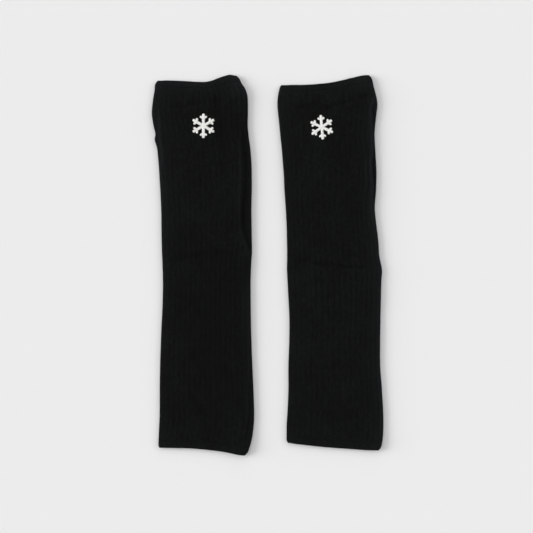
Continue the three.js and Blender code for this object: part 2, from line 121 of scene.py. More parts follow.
LEFT = {
    "name": "left",
    "seed": 11,
    "sections": table(
        "y left right crown",
        (-201.4, -116.5, -28.0, 3.9),
        (-201.0, -118.2, -25.8, 4.2),
        (-200.2, -119.2, -24.2, 4.5),
        (-198.4, -119.6, -22.5, 4.8),
        (-196.0, -119.7, -21.2, 5.1),
        (-190.0, -119.6, -19.0, 5.5),
        (-180.0, -119.1, -16.6, 5.9),
        (-164.0, -118.4, -15.0, 6.2),
        (-140.0, -118.3, -15.7, 6.3),
        (-110.0, -117.9, -17.0, 6.2),
        (-75.0, -116.7, -18.3, 6.1),
        (-45.0, -115.3, -18.8, 6.2),
        (-20.0, -114.8, -18.9, 6.4),
        (3.0, -115.4, -18.2, 6.3),
        (14.0, -115.9, -17.4, 6.1),
        (30.0, -116.3, -17.6, 6.4),
        (60.0, -116.7, -18.0, 6.6),
        (90.0, -118.2, -17.6, 6.5),
        (112.0, -119.6, -18.0, 6.6),
        (129.0, -121.4, -19.4, 6.7),
        (137.5, -123.9, -20.6, 6.7),
        (143.5, -123.1, -21.3, 6.7),
        (153.0, -125.2, -22.1, 6.6),
        (166.0, -127.1, -21.9, 6.5),
        (180.0, -125.9, -22.3, 6.0),
        (188.0, -124.6, -24.8, 5.5),
        (191.0, -124.1, -27.0, 5.2),
        (194.0, -123.9, -28.9, 4.8),
        (197.0, -123.5, -30.4, 4.4),
        (199.2, -122.6, -31.9, 4.0),
        (200.8, -121.4, -33.6, 3.8),
        (201.6, -120.0, -35.2, 3.6),
        (202.0, -117.5, -37.6, 3.5),
    ),
    "knee_edge": table(
        "across out",
        (0, 0.5),
        (0.08, 0.8),
        (0.3, 0.2),
        (0.55, -0.9),
        (0.64, -0.6),
        (0.72, 1.1),
        (0.8, 3.6),
        (0.88, 5.7),
        (0.95, 7.0),
        (1, 6.0),
    ),
    "ankle_edge": table(
        "across out",
        (0, 0),
        (0.21, 0.3),
        (0.36, 0.6),
        (0.51, 1.7),
        (0.68, 3.4),
        (0.78, 4.6),
        (0.86, 6.0),
        (0.93, 7.4),
        (1, 8.3),
    ),
    # depth of the trough, which is negative on a ridge, its half width, how long its two ends fade, its path
    "folds": [
        ("foot of the right ledge", 0.6, 1.0, 16, [(-27.2, 150), (-27.2, 134), (-26.2, 120), (-24.8, 102),
                                                   (-24.6, 88), (-26.0, 77), (-27.3, 66), (-27.6, 50),
                                                   (-27.0, 41), (-25.3, 33), (-23.2, 27), (-21.0, 20),
                                                   (-18.8, 13)]),
        ("deepest part of that foot", 0.6, 1.0, 12, [(-26.4, 76), (-27.3, 66), (-27.6, 50), (-27.0, 41),
                                                     (-25.6, 34)]),
        ("lip of the right ledge", -0.6, 2.0, 20, [(-30.6, 138), (-29.0, 100), (-30.0, 78), (-31.2, 62),
                                                   (-30.8, 46), (-28.4, 34), (-25.0, 25), (-22.4, 17)]),
        ("lip of the left ledge", -0.35, 1.8, 14, [(-119.2, 174), (-118.9, 165), (-118.2, 151),
                                                  (-118.7, 143), (-115.8, 127), (-114.2, 104)]),
        ("packing crease", 0.7, 4.2, 18, [(-116, 4.2), (-100, 5.2), (-84, 7.2), (-68, 9.6), (-50, 10.8),
                                          (-30, 12.0)]),
        ("its left dent", 0.6, 3.0, 9, [(-110, 5.4), (-98, 5.0), (-88, 7.2)]),
        ("its middle dent", 0.8, 3.0, 8, [(-81, 7.4), (-73, 11.0), (-66, 9.8)]),
        ("its right dent", 0.9, 2.8, 7, [(-60, 10.8), (-53, 12.8), (-47, 11.4)]),
        ("its lower dent", 0.5, 2.4, 8, [(-78, 3.6), (-66, 4.6), (-52, 4.0)]),
        ("second packing crease", 0.6, 1.8, 9, [(-66, 18.4), (-56, 17.2), (-40, 17.6)]),
        ("crease below the knee welt", 0.7, 2.6, 12, [(-108, 171.6), (-94, 172.4), (-80, 174.4),
                                                      (-66, 176)]),
        ("pocket below the knee welt", 2.0, 4.6, 12, [(-58, 185), (-53, 178), (-51, 168)]),
        ("soft trough beside the motif", 0.7, 5.6, 30, [(-50, 172), (-48, 140), (-46, 98)]),
        ("short crease of the corner", 0.9, 1.5, 8, [(-33.5, 180.6), (-29, 181.6), (-23.6, 181)]),
        ("drag from the motif", 0.3, 2.2, 16, [(-92, 126), (-78, 118), (-60, 114)]),
        ("slack in the middle", 0.3, 3.6, 30, [(-96, -36), (-76, -41), (-52, -38)]),
        ("slack at the calf", 0.25, 3.0, 24, [(-58, 88), (-44, 84), (-34, 86)]),
        ("dent below the middle", 0.8, 5.0, 16, [(-84, -94), (-79, -103), (-70, -108)]),
        ("second dent", 0.8, 4.4, 14, [(-48, -110), (-43, -120), (-36, -128)]),
        ("dent above the ankle", 0.9, 5.0, 18, [(-78, -148), (-72, -159), (-62, -168)]),
    ],
    # the same on the hidden side, where a trough stands off the table
    "under_folds": [
        ("packing crease", 0.7, 2.6, 20, [(-112, 8), (-84, 5.4), (-60, 8.2), (-28, 6.6)]),
        ("pocket below the knee welt", 0.5, 5.0, 14, [(-104, 176), (-96, 168), (-94, 156)]),
        ("slack at the calf", 0.45, 3.6, 30, [(-96, 96), (-70, 90), (-44, 94)]),
        ("slack in the middle", 0.4, 4.4, 24, [(-92, -60), (-64, -66), (-46, -60)]),
        ("slack at the ankle", 0.45, 3.8, 22, [(-84, -150), (-58, -144), (-36, -148)]),
    ],
    # how far the cloth steps down outwards, over what width, how long the ends fade, which side, the path
    "ledges": [
        ("right", 2.3, 2.4, 26, 1, [(-27.6, 154), (-27.7, 134), (-26.8, 120), (-25.6, 102), (-25.5, 88),
                                    (-26.9, 77), (-28.4, 66), (-28.9, 50), (-28.4, 41), (-26.8, 33),
                                    (-24.8, 27), (-22.0, 20), (-18.8, 12)]),
        ("ankle", 0.6, 1.6, 26, 1, [(-18.8, -78), (-19.2, -109), (-19.6, -132), (-20.0, -160), (-22.4, -182),
                                    (-27.0, -199)]),
        ("left", 1.0, 2.0, 16, -1, [(-120.9, 174), (-120.6, 165), (-119.9, 151), (-120.4, 143),
                                    (-117.6, 127), (-116.6, 112)]),
    ],
    # paler strips along the side folds, as shares: painted sheen where each fold turns toward the light,
    # with some paler nap
    "sheen_and_fuzz_sides": table(
        "y left right",
        (-200, 0.18, 0.25),
        (-157, 0.08, 0.30),
        (-112, 0.20, 0.40),
        (-80, 0.26, 0.55),
        (-46, 0.32, 0.75),
        (-19, 0.32, 0.50),
        (0, 0.38, 0.25),
        (24, 0.40, 0.34),
        (47, 0.50, 0.34),
        (75, 0.64, 0.36),
        (102, 0.70, 0.36),
        (124, 0.72, 0.30),
        (158, 0.72, 0.15),
        (178, 0.42, 0.35),
        (190, 0.62, 0.65),
        (202, 0.70, 0.65),
    ),
    # paler bands at the knee and at the ankle: painted highlight
    "painted_highlight_ends": (0.66, 0.30),  # at the knee and at the ankle
    # how much paler, as painted highlight on lips and corners, and below 0 how much darker: painted shade in
    # creases, dents and troughs, and a darker lower part; half width, fade, path
    "painted_light_and_shade_lines": [
        ("left lip", 0.42, 1.3, 16, [(-119.4, 174), (-119.1, 165), (-118.4, 151), (-118.9, 143),
                                     (-116.0, 127), (-114.2, 102)]),
        ("right lip", 0.18, 1.4, 20, [(-30.6, 150), (-29.0, 100), (-30.0, 78), (-31.2, 62), (-30.8, 46),
                                      (-28.4, 34)]),
        ("end of the right lip", 0.45, 1.4, 8, [(-30.0, 40), (-28.4, 34), (-25.0, 25), (-22.4, 17),
                                                (-18.6, 4)]),
        ("ankle lip", 0.30, 1.2, 16, [(-20.2, -56), (-20.8, -109), (-21.4, -132), (-21.6, -160),
                                      (-23.4, -180)]),
        ("knee corner", 0.42, 14, 14, [(-44, 204), (-28, 196), (-28, 180)]),
        ("painted shade in the trough beside the motif", -0.22, 8, 26, [(-56, 180), (-50, 156), (-47, 124), (-46, 90)]),
        ("painted shade along the knee edge", -0.40, 8, 6, [(-62, 199), (-50, 200), (-40, 206)]),
        # darker over the lower part of the leg
        ("darker lower part", -0.22, 32, 60, [(-64, 20), (-66, -60), (-66, -170)]),
        ("painted shade in the dent below the middle", -0.32, 5, 8, [(-84, -94), (-79, -103), (-70, -108)]),
        ("painted shade in the second dent", -0.32, 4.5, 8, [(-48, -110), (-43, -120), (-36, -128)]),
        ("painted shade in the dent above the ankle", -0.38, 5.5, 9, [(-80, -146), (-75, -158), (-63, -167)]),
        ("painted shade in the packing crease", -0.26, 6, 10, [(-108, 5.0), (-94, 5.5), (-80, 7.0)]),
        ("painted shade along the band of the packing crease", -0.32, 8, 9, [(-84, 8.5), (-68, 9.5), (-50, 10.5),
                                                            (-32, 10.5)]),
    ],
    "lifts": table("x y reach height", (-30, 207, 48, 1.2), (-24, -207, 36, 2.0)),
    "snowflake": (-70.4, 152.5, 0.0),
    "bold_ribs": (-34, 196, 28, 1.8),
    "wide_ribs": 0.0,
}

RIGHT = {
    "name": "right",
    "seed": 23,
    "sections": table(
        "y left right crown",
        (-195.6, 25.0, 118.5, 3.8),
        (-195.2, 23.2, 121.0, 4.1),
        (-194.2, 22.0, 122.8, 4.4),
        (-192.5, 21.4, 124.0, 4.7),
        (-190.0, 21.2, 125.1, 5.0),
        (-185.0, 21.1, 126.2, 5.4),
        (-175.0, 21.3, 127.0, 5.8),
        (-160.0, 22.3, 127.0, 6.2),
        (-138.0, 23.2, 125.6, 6.2),
        (-110.0, 23.2, 123.6, 6.0),
        (-84.0, 24.1, 123.5, 6.1),
        (-60.0, 24.3, 123.9, 6.3),
        (-36.0, 23.2, 124.4, 6.4),
        (-17.0, 22.2, 125.0, 6.5),
        (-6.0, 21.6, 125.6, 6.5),
        (1.0, 21.7, 124.4, 6.2),
        (10.0, 21.8, 122.6, 6.2),
        (28.0, 21.6, 121.4, 6.3),
        (50.0, 20.9, 118.6, 6.4),
        (64.0, 20.1, 117.7, 6.4),
        (82.0, 18.9, 119.0, 6.5),
        (102.0, 17.9, 119.5, 6.5),
        (125.0, 16.1, 118.3, 6.6),
        (143.0, 14.3, 117.5, 6.6),
        (158.0, 12.8, 119.1, 6.5),
        (170.0, 11.5, 120.6, 6.3),
        (178.0, 11.1, 119.0, 5.9),
        (185.0, 11.6, 116.8, 5.3),
        (190.0, 12.4, 115.7, 4.8),
        (193.0, 13.3, 114.6, 4.4),
        (195.2, 13.9, 113.6, 4.0),
        (196.8, 14.8, 112.0, 3.8),
        (197.6, 16.4, 110.0, 3.6),
        (197.9, 18.5, 107.5, 3.5),
    ),
    "knee_edge": table(
        "across out",
        (0, -0.3),
        (0.11, 0),
        (0.26, 0.1),
        (0.41, 1.0),
        (0.56, 2.4),
        (0.69, 4.6),
        (0.79, 6.8),
        (0.87, 8.4),
        (0.94, 10.0),
        (1, 10.7),
    ),
    "ankle_edge": table(
        "across out",
        (0, 0.5),
        (0.05, 1.4),
        (0.12, 2.1),
        (0.26, 3.6),
        (0.4, 5.0),
        (0.54, 6.0),
        (0.68, 6.9),
        (0.87, 8.2),
        (1, 8.6),
    ),
    "folds": [
        ("crease of the knee corner", 0.8, 1.7, 6, [(101, 185), (107, 186.4), (114, 184.6)]),
        ("side groove", 1.5, 1.0, 8, [(116.8, 174), (116.4, 168), (116.8, 157), (117.6, 138), (117.6, 122),
                                      (116.0, 109), (116.4, 97), (117.8, 87), (118.0, 69), (118.8, 50)]),
        ("lip beside the groove", -0.9, 1.7, 10, [(118.2, 187), (116.0, 180), (113.9, 174), (113.1, 168),
                                                  (114.2, 157), (114.8, 138), (114.6, 122), (113.0, 109),
                                                  (114.8, 89), (114.6, 69), (116.0, 44)]),
        ("inner lip", -0.35, 1.4, 16, [(108.6, 122), (107.6, 106), (109.8, 84)]),
        ("packing crease", 1.0, 1.9, 14, [(24, 3.6), (40, 2.2), (56, 0.0), (72, -2.2), (88, -3.0),
                                          (104, -3.8), (115, -4.0)]),
        ("its left dent", 0.7, 2.8, 8, [(25, 6.2), (33, 5.4), (42, 5.0), (50, 2.6)]),
        ("its lower dent", 0.6, 2.4, 8, [(26, -0.8), (36, -0.4), (48, -1.8)]),
        ("its middle dent", 0.5, 2.2, 7, [(56, 1.0), (64, -1.6), (74, -1.6)]),
        ("its right dent", 1.0, 1.5, 9, [(80, -3.6), (92, -2.8), (101, -4.2), (111, -4.0)]),
        ("second packing crease", 1.2, 1.7, 10, [(64, 8.6), (76, 9.6), (86, 8.2), (104, 9.6)]),
        ("swell below the crease", -0.4, 5.0, 16, [(34, -8), (70, -10), (116, -11)]),
        ("crease below the knee welt", 0.4, 2.8, 16, [(24, 170.4), (46, 172.4), (66, 172.6), (84, 176.6),
                                                      (112, 187)]),
        ("its left dent", 0.5, 2.6, 8, [(30, 170.6), (40, 172.6), (48, 171.4)]),
        ("its middle dent", 0.7, 2.4, 8, [(60, 173.2), (68, 172.0), (77, 174.0)]),
        ("its rise", 0.8, 2.6, 8, [(78, 176.6), (88, 177.6), (96, 180.6)]),
        ("roll of the ankle edge", 0.3, 1.5, 24, [(120.2, -58), (120.4, -110), (123.0, -150),
                                                  (122.6, -190)]),
        ("drag from the motif", 0.3, 2.4, 18, [(40, 128), (58, 121), (78, 124)]),
        ("slack at the calf", 0.25, 3.4, 26, [(30, 66), (52, 62), (70, 66)]),
        ("slack below the middle", 0.25, 3.2, 28, [(62, -62), (84, -58), (106, -61)]),
        ("slack at the ankle", 0.3, 3.0, 26, [(34, -136), (52, -140), (74, -137)]),
    ],
    "under_folds": [
        ("packing crease", 0.7, 2.2, 20, [(28, -2), (56, 1.4), (84, 2.6), (114, 6.2)]),
        ("crease below the knee welt", 0.5, 3.0, 18, [(24, 176), (52, 172.4), (86, 175)]),
        ("slack at the calf", 0.4, 4.0, 30, [(36, 84), (66, 78), (98, 82)]),
        ("slack below the middle", 0.45, 3.6, 26, [(40, -74), (70, -68), (96, -76)]),
        ("dent above the ankle", 0.45, 5.0, 18, [(58, -142), (70, -152), (90, -150)]),
    ],
    "ledges": [
        ("right", 0.9, 1.8, 14, 1, [(117.0, 174), (116.2, 157), (116.8, 138), (116.8, 122), (115.2, 109),
                                    (116.8, 89), (117.0, 69), (118.0, 50)]),
    ],
    # paler strips along the side folds, as shares: painted sheen where each fold turns toward the light,
    # with some paler nap
    "sheen_and_fuzz_sides": table(
        "y left right",
        (-196, 0.30, 0.70),
        (-157, 0.10, 0.85),
        (-112, 0.16, 0.85),
        (-80, 0.16, 0.88),
        (-46, 0.15, 0.95),
        (-19, 0.10, 0.92),
        (19, 0.14, 0.92),
        (47, 0.10, 0.95),
        (75, 0.24, 0.92),
        (102, 0.18, 0.90),
        (124, 0.20, 0.90),
        (166, 0.30, 0.90),
        (180, 0.34, 0.70),
        (190, 0.50, 0.80),
        (198, 0.55, 0.60),
    ),
    # paler bands at the knee and at the ankle: painted highlight
    "painted_highlight_ends": (0.35, 0.30),
    # how much paler, as painted highlight on lips, corners and a rim, and below 0 how much darker, as
    # painted shade in creases; half width, fade, path
    "painted_light_and_shade_lines": [
        ("right lip", 1.0, 1.2, 8, [(118.4, 187), (116.4, 180), (114.3, 174), (113.5, 168), (114.8, 157),
                                    (115.2, 138), (115.0, 122), (113.4, 109), (115.2, 89), (115.0, 69),
                                    (116.6, 44)]),
        ("inner lip", 0.35, 1.3, 12, [(108.8, 122), (107.8, 106), (110.0, 84)]),
        ("knee corner", 0.45, 12, 12, [(96, 203), (110, 200)]),
        ("painted shade in the packing crease", -0.24, 6, 10, [(26, 1.8), (46, 0.8), (66, -0.6), (84, -2.0)]),
        ("painted highlight on the rim between the creases", 0.10, 3, 8, [(86, 3.4), (98, 3.8), (112, 3.0)]),
        ("painted shade in the crease below the knee welt", -0.20, 3.5, 10, [(34, 173.6), (60, 174.4), (84, 178),
                                                               (94, 179.4)]),
        ("painted shade in the crease of the knee corner", -0.24, 3.0, 6, [(100, 185), (107, 186.4), (113, 185)]),
    ],
    "lifts": table("x y reach height", (112, 206, 46, 1.0), (124, -203, 30, 1.4)),
    "snowflake": (59.6, 151.0, math.radians(5)),
    "bold_ribs": (88, -22, 40, 0.8),
    "wide_ribs": 0.10,
}


def through(rows, key, at, column):
    """A smooth curve through a table: the value of one column where another column is at."""
    xs, ys = rows[key], rows[column]
    at = np.clip(at, xs[0], xs[-1])
    before = np.maximum(np.arange(len(xs)) - 1, 0)
    after = np.minimum(np.arange(len(xs)) + 1, len(xs) - 1)
    slopes = (ys[after] - ys[before]) / (xs[after] - xs[before])
    i = np.clip(np.searchsorted(xs, at) - 1, 0, len(xs) - 2)
    width = xs[i + 1] - xs[i]
    t = (at - xs[i]) / width
    rise = (3 - 2 * t) * t * t
    lead = t * (t - 1) ** 2
    tail = t * t * (t - 1)
    return ys[i] * (1 - rise) + ys[i + 1] * rise + width * (lead * slopes[i] + tail * slopes[i + 1])


def smooth(value, low, high):
    """0 below low and 1 above high, with a soft step between them."""
    t = np.clip((value - low) / (high - low), 0, 1)
    return (3 - 2 * t) * t * t


def unevenness(x, y, longest, seed):
    """Soft waves of many directions, about -1 to 1 and none longer than longest: no two places are alike."""
    draw = np.random.default_rng(seed)
    total = 0
    waves = 7
    for _ in range(waves):
        angle, phase = draw.uniform(0, math.tau, 2)
        length = longest * draw.uniform(0.4, 1)
        total = total + np.sin(math.tau * (x * math.cos(angle) + y * math.sin(angle)) / length + phase)
    return total / math.sqrt(waves)


def section_at(leg, y):
    """The middle, half width and crown of a leg warmer's section at y."""
    left, right, crown = (through(leg["sections"], "y", y, name) for name in ("left", "right", "crown"))
    return (left + right) / 2, (right - left) / 2 + NAP, crown


def waved(leg, middle, half, x, y):
    """Where a point of the section at y really lies along the leg, with the wave of the two ends."""
    across = np.clip((x - middle) / half / 2 + 0.5, 0, 1)
    sections = leg["sections"]["y"]
    near_knee = 1 - smooth(sections[-1] - y, 0, EDGE_FADE)
    near_ankle = 1 - smooth(y - sections[0], 0, EDGE_FADE)
    knee = through(leg["knee_edge"], "across", across, "out") * near_knee
    return y + knee - through(leg["ankle_edge"], "across", across, "out") * near_ankle


def fold_depth(path, half, fade, x, y):
    """How deep a trough is at x and y, as a share: full along the middle of its path, less to its ends."""
    points = np.array(path, dtype=float)
    steps = np.diff(points, axis=0)
    lengths = np.linalg.norm(steps, axis=1)
    starts = np.concatenate([[0], np.cumsum(lengths)])
    best = np.full(np.shape(x), 1e9)
    along = np.zeros(np.shape(x))
    for start, step, length, passed in zip(points, steps, lengths, starts):
        t = np.clip(((x - start[0]) * step[0] + (y - start[1]) * step[1]) / length**2, 0, 1)
        away = np.hypot(x - start[0] - t * step[0], y - start[1] - t * step[1])
        along = np.where(away < best, passed + t * length, along)
        best = np.minimum(best, away)
    ends = smooth(along, -fade / 3, fade) * smooth(starts[-1] - along, -fade / 3, fade)
    return np.exp(-((best / half) ** 2)) * ends


def all_folds(folds, x, y):
    """How deep all of these troughs and ridges are together at x and y."""
    return sum(depth * fold_depth(path, half, fade, x, y) for _, depth, half, fade, path in folds)


def off_table(leg, x, y):
    """How high a crease of the hidden panel stands off the table."""
    return all_folds(leg["under_folds"], x, y)


def ledge_drop(drop, step, fade, outwards, path, x, y):
    """How far the cloth lies lower beyond the lip of a ledge, which follows the path along the leg."""
    xs, ys = (np.array(values, dtype=float) for values in zip(*reversed(path)))
    beyond = outwards * (x - np.interp(y, ys, xs))
    ends = smooth(y, ys[0] - 2, ys[0] + fade / 3) * smooth(ys[-1] - y, 0, fade)
    return drop * smooth(beyond, -step / 2, step / 2) * ends


def fuzz_and_painted_light(leg, y, x, along):
    """How much paler the black is painted at a point: painted sheen at the side folds, with some paler nap,
    and painted highlight at the two ends, the lips and the corners. It is below 0 where painted shade
    makes the black deeper, in creases, dents and troughs, and where the lower part is darker."""
    middle, half, _ = section_at(leg, y)
    from_left = np.maximum(x - (middle - half), 0)
    from_right = np.maximum(middle + half - x, 0)
    sides = leg["sheen_and_fuzz_sides"]
    ends = leg["sections"]["y"]
    knee, ankle = leg["painted_highlight_ends"]
    at_knee = knee * math.exp(-max(ends[-1] - y, 0) / HIGHLIGHT_KNEE_REACH)
    at_ankle = ankle * math.exp(-max(y - ends[0], 0) / HIGHLIGHT_ANKLE_REACH)
    shares = [through(sides, "y", y, "left") * np.exp(-from_left / SHEEN_AND_FUZZ_SIDE_REACH),
              through(sides, "y", y, "right") * np.exp(-from_right / SHEEN_AND_FUZZ_SIDE_REACH),
              at_knee + at_ankle]
    for _, much, wide, fade, path in leg["painted_light_and_shade_lines"]:
        shares.append(much * fold_depth(path, wide, fade, x, along))
    plain = 1
    for share in shares:
        plain = plain * (1 - np.minimum(share, 1))
    return 1 - plain


def lift(leg, x, y):
    """How high a corner that curls off the table stands at x and y."""
    total = 0
    for corner in leg["lifts"]:
        away = ((x - corner["x"]) ** 2 + (y - corner["y"]) ** 2) / corner["reach"] ** 2
        total = total + corner["height"] * np.maximum(0, 1 - away) ** 2
    return total


def upper_height(leg, middle, half, crown, x, y, plain=False):
    """Height of the upper panel's furrows above the table, before a corner's lift."""
    s = np.minimum(np.abs(x - middle) / half, 1)
    arch = (1 - s**CROWN_POWER) ** (1 / CROWN_POWER)
    inside = smooth(half * (1 - s), 0, FOLD_MARGIN)
    real_y = waved(leg, middle, half, x, y)
    dip = all_folds(leg["folds"], x, real_y)
    dip = dip + sum(ledge_drop(*sizes, x, real_y) for _, *sizes in leg["ledges"])
    swell = 0
    if not plain:
        swell = SLACK_HEIGHT * unevenness(x, real_y, SLACK_LENGTH, leg["seed"])
        swell = swell + RIPPLE_HEIGHT * unevenness(x, real_y, RIPPLE_LENGTH, RIPPLE_SEED)
    least = UNDER_CLOTH + off_table(leg, x, real_y) + LEAST_GAP + LEAST_WALL
    return np.maximum(SIDE_HEIGHT + (crown - SIDE_HEIGHT) * arch - (dip - swell) * inside, least)


def near_motif(leg, x, y):
    """1 under the embroidery, which draws the ribs flat, and 0 away from it."""
    at = leg["snowflake"]
    return 1 - smooth(np.hypot(x - at[0], y - at[1]), *FLAT_UNDER_FLAKE)


def at_shares(x, z, shares):
    """Points at these shares of a path's length, with the way out of the path at each."""
    lengths = np.concatenate([[0], np.cumsum(np.hypot(np.diff(x), np.diff(z)))])
    wanted = shares * lengths[-1]
    px, pz = np.interp(wanted, lengths, x), np.interp(wanted, lengths, z)
    tangent_x = np.interp(wanted, lengths, np.gradient(x, lengths))
    tangent_z = np.interp(wanted, lengths, np.gradient(z, lengths))
    size = np.hypot(tangent_x, tangent_z)
    return px, pz, -tangent_z / size, tangent_x / size


def ring(leg, y, rib_share=1.0, swell=0.0, inner=False):
    """One row of points right round the tube at y, from the left fold over the top and back underneath."""
    middle, half, crown = section_at(leg, y)
    rib = np.tile(RIB_PROFILE, RIBS_ACROSS)
    shares = (np.arange(RIBS_ACROSS)[:, None] + np.array(RIB_SHARES)).ravel() / RIBS_ACROSS
    count = len(shares)
    above_shares = shares - leg["wide_ribs"] * np.sin(math.tau * shares) / math.tau

    turn = np.linspace(0, math.pi, 361)
    walk = middle - half * np.cos(turn)
    x, z, out_x, out_z = at_shares(walk, upper_height(leg, middle, half, crown, walk, y), above_shares)
    s = np.abs(x - middle) / half
    wander = RIB_WANDER * unevenness(x, y, RIB_WANDER_LENGTH, leg["seed"] + 1) * (1 - s**4)
    centre_x, centre_y, reach, more = leg["bold_ribs"]
    bold = 1 + more * np.exp(-(((x - centre_x) ** 2 + (y - centre_y) ** 2) / reach**2))
    bold = bold * (1 + RIB_CHANGE * unevenness(x, y, RIB_CHANGE_LENGTH, leg["seed"] + 2))
    calm = 1 - near_motif(leg, x, waved(leg, middle, half, x, y))
    height = RIB_HEIGHT * rib_share * bold
    relief = RIB_UNDER_FLAKE + (1 - RIB_UNDER_FLAKE) * calm
    raised = height * (rib * relief + LEVEL_UNDER_FLAKE * (1 - calm)) + swell
    above = np.stack([x + out_x * raised + wander, z + out_z * raised])

    quarter = np.linspace(0, math.pi / 2, 31)
    flat_half = half - SIDE_ROUND
    round_x = flat_half + SIDE_ROUND * np.cos(quarter)
    round_z = SIDE_HEIGHT * (1 - np.sin(quarter))
    path_x = np.concatenate([round_x, np.linspace(flat_half, -flat_half, 60)[1:-1], -round_x[::-1]])
    path_z = np.concatenate([round_z, np.zeros(58), round_z[::-1]])
    x, z, out_x, out_z = at_shares(path_x + middle, path_z, shares)
    up = z / SIDE_HEIGHT
    raised = up * (RIB_HEIGHT * rib_share * rib + swell) + (1 - up) * PRESSED_RIB * rib_share * (rib - 1)
    arched = (1 - up) * off_table(leg, x, waved(leg, middle, half, x, y))
    below = np.stack([x + out_x * raised, np.maximum(z + out_z * raised, 0) + arched])

    outer = np.concatenate([above, below], axis=1)
    if inner:
        shrink = (half - SIDE_CLOTH) / half
        inner_x = middle + (outer[0] - middle) * shrink
        roof = upper_height(leg, middle, half, crown, inner_x, y, plain=True) - CLOTH
        floor = UNDER_CLOTH + off_table(leg, inner_x, waved(leg, middle, half, inner_x, y))
        inner_z = np.where(np.arange(2 * count) < count, np.maximum(roof, floor + LEAST_GAP), floor)
        outer = np.stack([inner_x, inner_z])
    return outer


def place(leg, y, points):
    """A ring's points in the leg warmer's real place, in metres, and each one's share of painted sheen,
    highlight and shade.
    """
    middle, half, _ = section_at(leg, y)
    x, z = points
    along = waved(leg, middle, half, x, y)
    high = z + lift(leg, x, along)
    return np.stack([x + MIDDLE[0], along + MIDDLE[1], high], axis=1) * MM, fuzz_and_painted_light(leg, y, x, along)


def closed_wall(name, rows, courses):
    """A knitted wall, from a grid wrapped round both ways: rows are its rings, out along the outside of
    the cloth and back along the inside. courses gives each row's place along the knitting, in courses."""
    columns = len(rows[0][0])
    bm = bmesh.new()
    uv = bm.loops.layers.uv.new("knit")
    fuzz_and_light = bm.verts.layers.float.new("fuzz_and_painted_light")
    across = [rib + share for rib in range(columns // len(RIB_SHARES)) for share in RIB_SHARES]
    across.append(columns / len(RIB_SHARES))
    bmesh.ops.create_grid(bm, x_segments=columns, y_segments=len(rows), size=0.5)
    spots = {v: (round((v.co.x + 0.5) * columns), round((v.co.y + 0.5) * len(rows))) for v in bm.verts}
    lines = list(courses) + [courses[0]]
    for face in bm.faces:
        for loop in face.loops:
            column, row = spots[loop.vert]
            loop[uv].uv = (across[column], lines[row])
    for vert, (column, row) in spots.items():
        points, shades = rows[row % len(rows)]
        vert.co = points[column % columns]
        vert[fuzz_and_light] = shades[column % columns]
    bmesh.ops.remove_doubles(bm, verts=bm.verts, dist=1e-7)
    bmesh.ops.recalc_face_normals(bm, faces=bm.faces)
    return finished(name, bm)


def finished(name, bm, smooth_shading=True):
    """Turns a bmesh into a piece of the scene."""
    mesh = bpy.data.meshes.new(name)
    bm.to_mesh(mesh)
    bm.free()
    if smooth_shading:
        mesh.shade_smooth()
    piece = bpy.data.objects.new(name, mesh)
    bpy.context.scene.collection.objects.link(piece)
    return piece


def knitted_tube(leg):
    """The long ribbed tube between the two welts."""
    low = leg["sections"]["y"][0] + WELT_DEPTH + SEAM_GAP
    high = leg["sections"]["y"][-1] - WELT_DEPTH - SEAM_GAP
    outside = np.linspace(low, high, round((high - low) / ROW_STEP) + 1)
    inside = np.linspace(high, low, round((high - low) / INSIDE_STEP) + 1)
    rows = []
    for y in outside:
        at_seam = 1 - smooth(min(y - low, high - y), 0, SEAM_REACH)
        points = ring(leg, y, rib_share=1 - SEAM_RIB_LOSS * at_seam, swell=-SEAM_SINK * at_seam)
        rows.append(place(leg, y, points))
    rows += [place(leg, y, ring(leg, y, inner=True)) for y in inside]
    courses = np.concatenate([outside, inside]) / COURSE
    return closed_wall(leg["name"] + "_rib_tube", rows, courses)


def turned_welt(leg, at_knee):
    """A double edge: the ribs run to a rounded turn and go back inside."""
    ends = leg["sections"]["y"]
    edge, inwards = (ends[-1], -1) if at_knee else (ends[0], 1)
    depths = np.linspace(WELT_DEPTH, EDGE_ROUND, 10)
    rows, places = [], []
    for depth in depths:
        near_seam = smooth(depth, WELT_DEPTH - SEAM_REACH, WELT_DEPTH)
        swell = WELT_SWELL * (1 - near_seam) - SEAM_SINK * near_seam
        points = ring(leg, edge + inwards * depth, rib_share=WELT_RIB_SHARE, swell=swell)
        rows.append(place(leg, edge + inwards * depth, points))
        places.append(depth)
    start = ring(leg, edge + inwards * EDGE_ROUND, rib_share=WELT_RIB_SHARE, swell=WELT_SWELL)
    finish = ring(leg, edge + inwards * EDGE_ROUND, inner=True)
    for turn in np.linspace(0, math.pi, 9)[1:-1]:
        share = (1 - math.cos(turn)) / 2
        depth = EDGE_ROUND * (1 - math.sin(turn))
        rows.append(place(leg, edge + inwards * depth, start + (finish - start) * share))
        places.append(depth)
    for depth in np.linspace(EDGE_ROUND, WELT_DEPTH, 4):
        rows.append(place(leg, edge + inwards * depth, ring(leg, edge + inwards * depth, inner=True)))
        places.append(-depth)
    name = leg["name"] + ("_knee" if at_knee else "_ankle") + "_turned_welt"
    return closed_wall(name, rows, [(edge + inwards * depth) / COURSE for depth in places])


def top_of_cloth(leg, x, y):
    """Height of the panel under the motif, where the stitches have drawn its ribs flat."""
    middle, half, crown = section_at(leg, y)
    return upper_height(leg, middle, half, crown, x, y) + RIB_HEIGHT * 0.9 + lift(leg, x, y)


